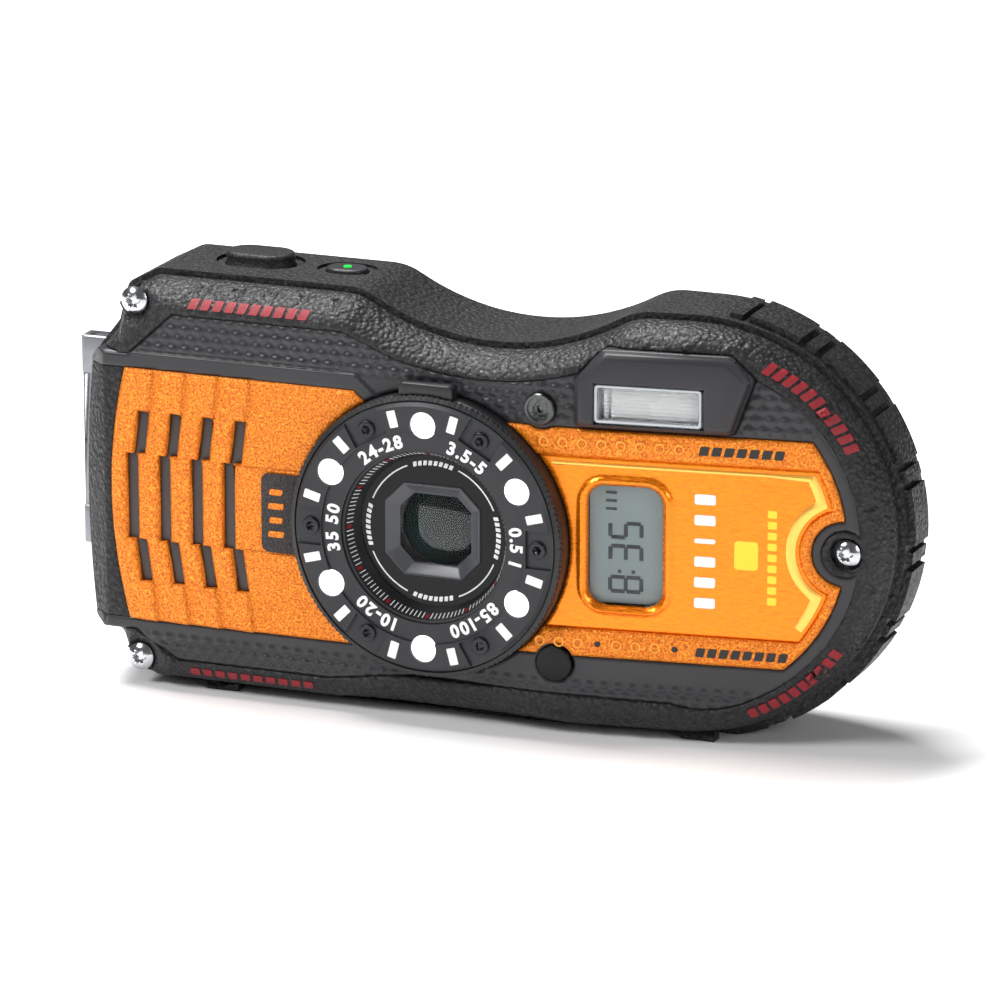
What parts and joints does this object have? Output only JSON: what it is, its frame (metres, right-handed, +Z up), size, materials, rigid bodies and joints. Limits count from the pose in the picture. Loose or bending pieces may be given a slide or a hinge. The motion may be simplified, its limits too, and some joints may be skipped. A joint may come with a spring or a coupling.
{
  "type": "action camera",
  "caption": "Rugged waterproof compact camera with a round lens ring of lamps, orange grip and face plates, flash, clock window and armoured case.",
  "frame": {"origin": "mouth of the tripod socket, on the plane the camera stands on", "axes": "+X to the right seen from the front, -Y out of the lens, +Z up"},
  "size_m": [0.1278, 0.032, 0.0639],
  "materials": {
    "black_rubbery_plastic": "fine pebble texture",
    "trim_plastic": "satin, dimpled",
    "orange_texture": "sparkle grain paint",
    "orange_gloss": "gloss over brushed metal",
    "ring_plastic": "satin",
    "gloss_black": "gloss",
    "clear_glass": "clear",
    "lens_glass": "coated",
    "lamp_white": "translucent",
    "chrome": "polished",
    "dark_steel": "black oxide",
    "steel": "plain",
    "rubber": "matt",
    "lcd": "liquid crystal cell",
    "pcb": "solder mask",
    "module_plastic": "moulded",
    "cell_wrap": "wrapped cell",
    "reflector": "bright",
    "green_led": "green lens",
    "brass": "nickelled"
  },
  "bodies": {
    "camera": {"af_lamp_lens": "clear_glass", "battery": "cell_wrap", "battery_box": "module_plastic", "button_switches": "steel", "case_screws": "chrome", "chassis": "steel", "clock_lcd": "lcd", "clock_window": "clear_glass", "display_glass": "gloss_black", "display_panel": "orange_gloss", "door_pin": "steel", "face_plate": "orange_texture", "flash_capacitor": "cell_wrap", "flash_hood": "trim_plastic", "flash_reflector": "reflector", "flash_tube": "clear_glass", "flash_window": "clear_glass", "front_element": "lens_glass", "front_shell": "black_rubbery_plastic", "gps_antenna": "module_plastic", "grip_badge": "trim_plastic", "grip_inserts": "trim_plastic", "grip_plate": "orange_texture", "image_sensor": "module_plastic", "led_board": "pcb", "led_lenses": "lamp_white", "lens_barrel": "module_plastic", "lens_plate": "gloss_black", "lens_window": "clear_glass", "main_board": "pcb", "main_seal": "rubber", "memory_card": "module_plastic", "prism": "lens_glass", "rear_display": "lcd", "rear_shell": "black_rubbery_plastic", "remote_window": "gloss_black", "ring_base": "ring_plastic", "ring_bezel": "ring_plastic", "ring_screws": "dark_steel", "scale_ring": "ring_plastic", "side_grip": "trim_plastic", "strap_bar": "chrome", "trim_frame": "trim_plastic", "tripod_bush": "brass"},
    "shutter_button": {"shutter_button": "black_rubbery_plastic"},
    "power_button": {"power_button": "trim_plastic", "power_led": "green_led"},
    "play_button": {"play_button": "trim_plastic"},
    "movie_button": {"movie_button": "trim_plastic"},
    "menu_button": {"menu_button": "trim_plastic"},
    "mode_button": {"mode_button": "trim_plastic"},
    "pad_gimbal": {"pad_gimbal": "rubber"},
    "four_way_pad": {"four_way_pad": "trim_plastic"},
    "ok_button": {"ok_button": "trim_plastic"},
    "zoom_rocker": {"zoom_rocker": "trim_plastic"},
    "battery_door": {"battery_door": "black_rubbery_plastic", "door_seal": "rubber"},
    "door_latch": {"door_latch": "trim_plastic"},
    "zoom_group": {"zoom_group": "module_plastic"},
    "focus_group": {"focus_group": "module_plastic"}
  },
  "joints": [
    {"name": "shutter_press", "type": "slide", "parent": "camera", "child": "shutter_button", "axis": [0, 0, -1], "range_m": [0, 0.0008], "stiffness_N_per_m": 1200},
    {"name": "power_press", "type": "slide", "parent": "camera", "child": "power_button", "axis": [0, 0, -1], "range_m": [0, 0.0006], "stiffness_N_per_m": 1200},
    {"name": "play_press", "type": "slide", "parent": "camera", "child": "play_button", "axis": [0, -1, 0], "range_m": [0, 0.0004], "stiffness_N_per_m": 1500},
    {"name": "movie_press", "type": "slide", "parent": "camera", "child": "movie_button", "axis": [0, -1, 0], "range_m": [0, 0.0004], "stiffness_N_per_m": 1500},
    {"name": "menu_press", "type": "slide", "parent": "camera", "child": "menu_button", "axis": [0, -1, 0], "range_m": [0, 0.0004], "stiffness_N_per_m": 1500},
    {"name": "mode_press", "type": "slide", "parent": "camera", "child": "mode_button", "axis": [0, -1, 0], "range_m": [0, 0.0004], "stiffness_N_per_m": 1500},
    {"name": "ok_press", "type": "slide", "parent": "camera", "child": "ok_button", "axis": [0, -1, 0], "range_m": [0, 0.0004], "stiffness_N_per_m": 1500},
    {"name": "pad_up_down", "type": "hinge", "parent": "camera", "child": "pad_gimbal", "pos_m": [-0.0415, 0.0118, 0.028], "axis": [1, 0, 0], "range_deg": [-2, 2], "stiffness_Nm_per_rad": 0.3},
    {"name": "pad_left_right", "type": "hinge", "parent": "pad_gimbal", "child": "four_way_pad", "pos_m": [-0.0415, 0.0118, 0.028], "axis": [0, 0, 1], "range_deg": [-2, 2], "stiffness_Nm_per_rad": 0.3},
    {"name": "zoom_rock", "type": "hinge", "parent": "camera", "child": "zoom_rocker", "pos_m": [-0.047, 0.013, 0.051], "axis": [0, 0, 1], "range_deg": [-3, 3], "stiffness_Nm_per_rad": 0.2},
    {"name": "door_hinge", "type": "hinge", "parent": "camera", "child": "battery_door", "pos_m": [-0.0288, 0.0093, 0.0014], "axis": [1, 0, 0], "range_deg": [0, 90]},
    {"name": "door_lock", "type": "slide", "parent": "battery_door", "child": "door_latch", "axis": [1, 0, 0], "range_m": [0, 0.003]},
    {"name": "zoom_travel", "type": "slide", "parent": "camera", "child": "zoom_group", "axis": [1, 0, 0], "range_m": [0, 0.008]},
    {"name": "focus_travel", "type": "slide", "parent": "camera", "child": "focus_group", "axis": [1, 0, 0], "range_m": [-0.002, 0.002]}
  ]
}
